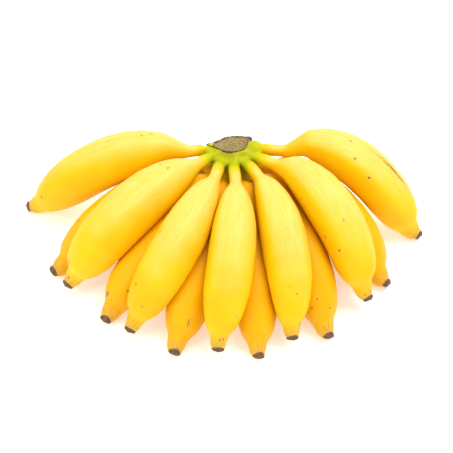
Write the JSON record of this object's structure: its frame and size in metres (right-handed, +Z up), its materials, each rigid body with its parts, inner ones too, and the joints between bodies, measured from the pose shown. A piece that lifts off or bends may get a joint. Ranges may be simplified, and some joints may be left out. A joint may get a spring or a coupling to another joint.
{
  "type": "hand of bananas",
  "caption": "Hand of short, plump ripe bananas fanned out in two rows from one green crown with a dry cut face, lying on its fruit ends with the hollow side down.",
  "frame": {"origin": "under the middle of the whole hand's box, on the table", "axes": "+X to the right across the fan, the longest way; +Y to the back, where the crown is, so the fruits fan out towards -Y; +Z up from the table"},
  "size_m": [0.2558, 0.1458, 0.0698],
  "materials": {
    "upper_skin": "smooth, waxy ripe banana skin",
    "lower_skin": "smooth, waxy ripe banana skin",
    "crown_green": "green fibrous crown with a dry brown cut face"
  },
  "bodies": {
    "root": {"crown": "crown_green", "upper_finger_1": "upper_skin", "upper_finger_2": "upper_skin", "upper_finger_3": "upper_skin", "upper_finger_4": "upper_skin", "upper_finger_5": "upper_skin", "upper_finger_6": "upper_skin", "upper_finger_7": "upper_skin", "lower_finger_1": "lower_skin", "lower_finger_2": "lower_skin", "lower_finger_3": "lower_skin", "lower_finger_4": "lower_skin", "lower_finger_5": "lower_skin", "lower_finger_6": "lower_skin"}
  },
  "joints": []
}
